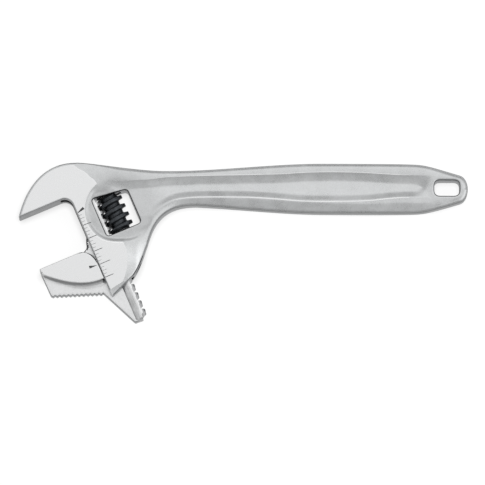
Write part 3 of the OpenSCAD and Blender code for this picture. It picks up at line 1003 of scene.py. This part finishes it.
# Distances of the rows of points along the jaw's edges
FACE_ROWS = (0.05, 0.12, 0.22, 0.34)
WEB_ROWS = (0.06, 0.14, 0.25, 0.4)
COVE_ROWS = (0.25, 0.5, 0.8, 1.1, 1.5, 2.2)
jaw = field_solid(
    "reversible_jaw", loops=[boss, web, *pointer[:2]], lines=[offset_loop(boss, 0.08)], spots=[],
    keep=in_jaw, height=jaw_height, pick=jaw_pick, materials=JAW_METALS,
    edge_steps=((boss, FACE_ROWS), (boss, COVE_ROWS), (web, WEB_ROWS)))

# The rack, which keeps clear of the worm's root and crest
RACK_TIP = -WORM_ROOT - 0.85
RACK_ROOT = -WORM_RADIUS - 0.35
GROOVE_ROOT_HALF = 1.07
GROOVE_TIP_HALF = 1.29
GROOVE_COUNT = 15
# Widths of the painted shade on the rack's teeth: the darkest band below their tips, and the start of the
# shade above their roots
TIP_BAND = 0.6
ROOT_BAND = 0.1
RAIL_CHAMFERS = (0.5, 0.9)
RACK_TILT = math.atan(PITCH / (math.pi * (WORM_ROOT + WORM_RADIUS)))
FIRST_GROOVE = CREST_PHASE - PITCH / 2


def rack_limit(s, z):
    """How far the rail reaches towards the worm: teeth with rounded tips, tilted to the worm's lead."""
    at = s + z * math.tan(RACK_TILT) - FIRST_GROOVE
    off = np.abs(np.mod(at + PITCH / 2, PITCH) - PITCH / 2)
    tooth = RACK_TIP - 0.42 * np.clip((PITCH / 2 - off) / (PITCH / 2 - GROOVE_TIP_HALF), 0, 1) ** 3
    flank = smooth((off - GROOVE_ROOT_HALF) / (GROOVE_TIP_HALF - GROOVE_ROOT_HALF + 0.1))
    made = RACK_ROOT + (tooth - RACK_ROOT) * flank
    made = np.where(at < -PITCH / 2, RACK_TIP, made)
    last = at - (GROOVE_COUNT - 1) * PITCH
    made = np.where(last > 0, RACK_ROOT, made)
    return np.where(last > -1, made - 0.8 * smooth((last + 1) / 0.6), made)


def rail_mesh():
    """The round rail with the rack cut into it."""
    rows, columns = 480, 64
    s = np.linspace(RAIL_START, RAIL_FINISH, rows)
    s = np.concatenate([[s[0]], s, [s[-1]]])
    first, last = RAIL_CHAMFERS
    radius = RAIL_RADIUS - np.clip(first - (s - RAIL_START), 0, 1) - np.clip(last - (RAIL_FINISH - s), 0, 1)
    turn = np.arange(columns) * 2 * math.pi / columns
    n = RAIL_N + radius[:, None] * np.cos(turn)
    z = radius[:, None] * np.sin(turn) * np.ones_like(n)
    across = np.repeat(s[:, None], columns, axis=1)
    n = np.minimum(n, rack_limit(across, z))
    xy = plan(across[1:-1], n[1:-1])
    verts = np.dstack([xy, MID + z[1:-1]]).reshape(-1, 3)
    faces = [face[::-1] for face in grid_faces(rows, columns)]
    faces.append(tuple(range(columns)))
    faces.append(tuple(reversed(range((rows - 1) * columns, rows * columns))))
    # painted shade: the teeth are darker, darkest at their tips
    metals = [rail_steel, turned_steel_and_shade, machined_and_shade]
    at = metals.index
    middle = (n[1:-2] + n[2:-1]) / 2
    middle = (middle + np.roll(middle, -1, axis=1)) / 2
    picked = np.where(middle > RACK_ROOT + ROOT_BAND, at(turned_steel_and_shade), at(rail_steel))
    picked = np.where(middle > RACK_TIP - TIP_BAND, at(machined_and_shade), picked)
    end_caps = [at(rail_steel)] * 2
    return outward(mesh_object("jaw_rail", verts, faces, metals, [*picked.ravel(), *end_caps]))


combine(jaw, rail_mesh(), "UNION")
finish_shading(jaw)
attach(jaw, "jaw")
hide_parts("sliding_jaw")

# -------------------- worm, pin and spring

# Half of the thread's section over one pitch: distance from the crest's middle, radius
THREAD = [(0.0, 5.85), (0.5, 5.85), (0.68, 5.8), (0.79, 5.68), (0.85, 5.5), (0.93, 5.05), (1.03, 4.45),
          (1.12, 4.05), (1.26, 3.85), (1.5, 3.77), (2.0, 3.75)]


def worm_mesh():
    """The worm's thread, longer than the worm at both ends."""
    section = [(-u, r) for u, r in THREAD[:0:-1]] + THREAD[:-1]
    per, turns, pitches = len(section), 90, 7
    rows = pitches * per
    verts = []
    for t in range(turns):
        angle = 2 * math.pi * t / turns
        row = np.arange(rows + 1)
        part = np.array([section[i % per] for i in row])
        s = CREST_PHASE + PITCH * (row // per - 2 + t / turns) + part[:, 0]
        xy = plan(s, part[:, 1] * math.cos(angle))
        verts.append(np.column_stack([xy, MID + part[:, 1] * math.sin(angle)]))
    stride = rows + 1
    faces = []
    for t in range(turns):
        for row in range(rows if t < turns - 1 else rows - per):
            a = t * stride + row
            b = (t + 1) * stride + row if t < turns - 1 else row + per
            faces.append((a, a + 1, b + 1, b))
    low = [t * stride for t in range(turns)] + list(range(per, 0, -1))
    high = [t * stride + rows for t in range(turns - 1, -1, -1)]
    high += [(turns - 1) * stride + row for row in range(rows - per, rows)]
    verts = np.vstack(verts)
    count = len(verts)
    ends = [np.append(plan(WORM_TOP - 6, 0), MID), np.append(plan(WORM_BOTTOM + 6, 0), MID)]
    faces += [(low[i], low[(i + 1) % len(low)], count) for i in range(len(low))]
    faces += [(high[i], high[(i + 1) % len(high)], count + 1) for i in range(len(high))]
    return outward(mesh_object("adjusting_worm", np.vstack([verts, ends]), faces, [black]))


worm = worm_mesh()
blank = lathe("worm_blank", [
    (WORM_TOP, 4.5), (WORM_TOP + 0.25, 4.9), (WORM_TOP + 1.1, WORM_RADIUS + 0.3),
    (WORM_BOTTOM - 1.1, WORM_RADIUS + 0.3), (WORM_BOTTOM - 0.25, 4.9), (WORM_BOTTOM, 4.5)], 0, black)
combine(worm, blank, "INTERSECT")
for cutter in (rod("cutter_bore", WORM_TOP - 5, WORM_BOTTOM + 5, 0, PIN_RADIUS + PIN_PLAY, black),
               rod("cutter_seat", SPRING_SEAT, WORM_BOTTOM + 5, 0, SPRING_BORE, black)):
    combine(worm, cutter, "DIFFERENCE")
finish_shading(worm, 38)
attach(worm, "screw")
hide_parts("worm")

pin = lathe("worm_axle_pin", [
    (PIN_START, 1.2), (PIN_START + 0.4, PIN_RADIUS), (PIN_THREAD_START, PIN_RADIUS),
    (PIN_THREAD_START + 0.3, PIN_THREAD_RADIUS - 0.02), (PIN_END - 0.4, PIN_THREAD_RADIUS - 0.02),
    (PIN_END, PIN_THREAD_RADIUS - 0.45)], 0, turned_steel_and_shade)
driver = planned(rectangle(PIN_END - 1.1, -4, PIN_END + 2, 4))
combine(pin, prism("cutter_driver", driver, MID - 0.4, MID + 0.4, turned_steel_and_shade), "DIFFERENCE")
finish_shading(pin)
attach(pin, "frame")
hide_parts("worm_pin")


def spring_mesh():
    """The friction spring, with closer coils at its ends."""
    turns, steps, sides = 5, 40, 12
    total = turns * steps
    coil = (PIN_RADIUS + SPRING_BORE) / 2 + 0.05
    wire_radius = SPRING_WIRE / 2
    start, finish = SPRING_SEAT + wire_radius + 0.05, WINDOW_BOTTOM - wire_radius - 0.05
    verts = []
    for i in range(total + 1):
        t = i / total
        s = start + (finish - start) * (0.75 * float(smooth(t)) + 0.25 * t)
        angle = 2 * math.pi * i / steps
        round_wire = 2 * math.pi * np.arange(sides) / sides
        radius = coil + wire_radius * np.cos(round_wire)
        xy = plan(s + wire_radius * np.sin(round_wire), radius * math.cos(angle))
        verts.append(np.column_stack([xy, MID + radius * math.sin(angle)]))
    faces = grid_faces(total + 1, sides)
    faces.append(tuple(reversed(range(sides))))
    faces.append(tuple(range(total * sides, (total + 1) * sides)))
    return outward(mesh_object("worm_friction_spring", np.vstack(verts), faces, [wire]))


spring = spring_mesh()
finish_shading(spring)
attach(spring, "frame")
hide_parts("worm_spring")

# -------------------- stage, light and camera

# Metres: the floor lies just under the wrench, so that the two never share a plane
FLOOR_HALF = 2.0
FLOOR_DROP = 0.0003
PAPER_GLOW = 0.93
CONTACT_REACH = 0.003
CONTACT_SHADE = 0.55


def paper_material():
    """Grey paper that shows as white, and is a little darker close to the wrench."""
    paper = bpy.data.materials.new("paper")
    paper.use_nodes = True
    tree = paper.node_tree
    diffuse = tree.nodes["Principled BSDF"]
    diffuse.inputs["Base Color"].default_value = (0.15, 0.15, 0.15, 1)
    diffuse.inputs["Roughness"].default_value = 0.9
    diffuse.inputs["Specular IOR Level"].default_value = 0.0
    path = tree.nodes.new("ShaderNodeLightPath")
    seen = arithmetic(tree, "MAXIMUM", path.outputs["Is Camera Ray"], path.outputs["Is Glossy Ray"])
    seen = arithmetic(tree, "MAXIMUM", seen, path.outputs["Is Transmission Ray"])
    shadow = tree.nodes.new("ShaderNodeAmbientOcclusion")
    shadow.samples = 8
    shadow.inputs["Distance"].default_value = CONTACT_REACH
    shade = ranged(tree, shadow.outputs["AO"], 0.0, 1.0, CONTACT_SHADE, 1.0)
    strength = arithmetic(tree, "MULTIPLY", shade, arithmetic(tree, "MULTIPLY", seen, PAPER_GLOW))
    glow = node_in(tree, "ShaderNodeEmission", (1, 1, 1, 1), strength)
    both = node_in(tree, "ShaderNodeAddShader", diffuse.outputs[0], glow.outputs[0])
    tree.links.new(both.outputs[0], tree.nodes["Material Output"].inputs["Surface"])
    return paper


floor_mesh = bpy.data.meshes.new("floor")
corners = rectangle(-FLOOR_HALF, -FLOOR_HALF, FLOOR_HALF, FLOOR_HALF)
floor_mesh.from_pydata([(x, y, 0) for x, y in corners], [], [(0, 1, 2, 3)])
floor_mesh.materials.append(paper_material())
floor = bpy.data.objects.new("floor", floor_mesh)
scene.collection.objects.link(floor)
floor.location.z = -FLOOR_DROP

# A soft light overhead, a second one to the right, a mid grey room and its darker horizon.
# Each light is its axis, the cosines between which it rises, and its strength.
ROOM = 0.6
OVERHEAD = ((0, 0.407, 0.914), 0.927, 0.982, 0.5)
OVERHEAD_STRETCH = (0.6, 1, 1)
RIGHT = ((0.8, -0.15, 0.58), 0.64, 0.94, 0.6)
HORIZON = 0.3
ABOVE_HORIZON = ((0, 0, 1), 0.0, 0.32, 0.7)


def toward(tree, source, axis, low, high, amount):
    """Light that rises smoothly towards an axis, between two cosines."""
    dot = node_in(tree, "ShaderNodeVectorMath", source, Vector(axis).normalized(), operation="DOT_PRODUCT")
    return ranged(tree, dot.outputs["Value"], low, high, 0.0, amount, "SMOOTHSTEP")


world = scene.world or bpy.data.worlds.new("studio")
scene.world = world
world.use_nodes = True
tree = world.node_tree
tree.nodes.clear()
direction = tree.nodes.new("ShaderNodeTexCoord").outputs["Generated"]
wide = node_in(tree, "ShaderNodeVectorMath", direction, OVERHEAD_STRETCH, operation="MULTIPLY")
wide = node_in(tree, "ShaderNodeVectorMath", wide.outputs["Vector"], operation="NORMALIZE")
lit = arithmetic(tree, "ADD", ROOM, toward(tree, wide.outputs["Vector"], *OVERHEAD))
lit = arithmetic(tree, "ADD", lit, toward(tree, direction, *RIGHT))
horizon = arithmetic(tree, "ADD", HORIZON, toward(tree, direction, *ABOVE_HORIZON))
sky = node_in(tree, "ShaderNodeBackground", (1, 1, 1, 1), arithmetic(tree, "MULTIPLY", lit, horizon))
node_in(tree, "ShaderNodeOutputWorld", sky.outputs[0])

CAMERA_ELEVATION = math.radians(80.5)
CAMERA_DISTANCE = 3.0
CAMERA_ROLL = math.radians(0.2)
VIEW_HALF = 0.10813
AIM_SHIFT = Vector((-0.36, 0.63, 0)) * MM
camera_data = bpy.data.cameras.new("camera")
camera_data.angle = 2 * math.atan(VIEW_HALF / CAMERA_DISTANCE)
camera = bpy.data.objects.new("camera", camera_data)
scene.collection.objects.link(camera)
back = Vector((0, -math.cos(CAMERA_ELEVATION), math.sin(CAMERA_ELEVATION)))
camera.location = (cad_low + cad_high) / 2 + AIM_SHIFT + back * CAMERA_DISTANCE
camera.rotation_mode = "QUATERNION"
camera.rotation_quaternion = (-back).to_track_quat("-Z", "Y") @ Quaternion((0, 0, 1), CAMERA_ROLL)
scene.camera = camera
scene.view_settings.view_transform = "Standard"
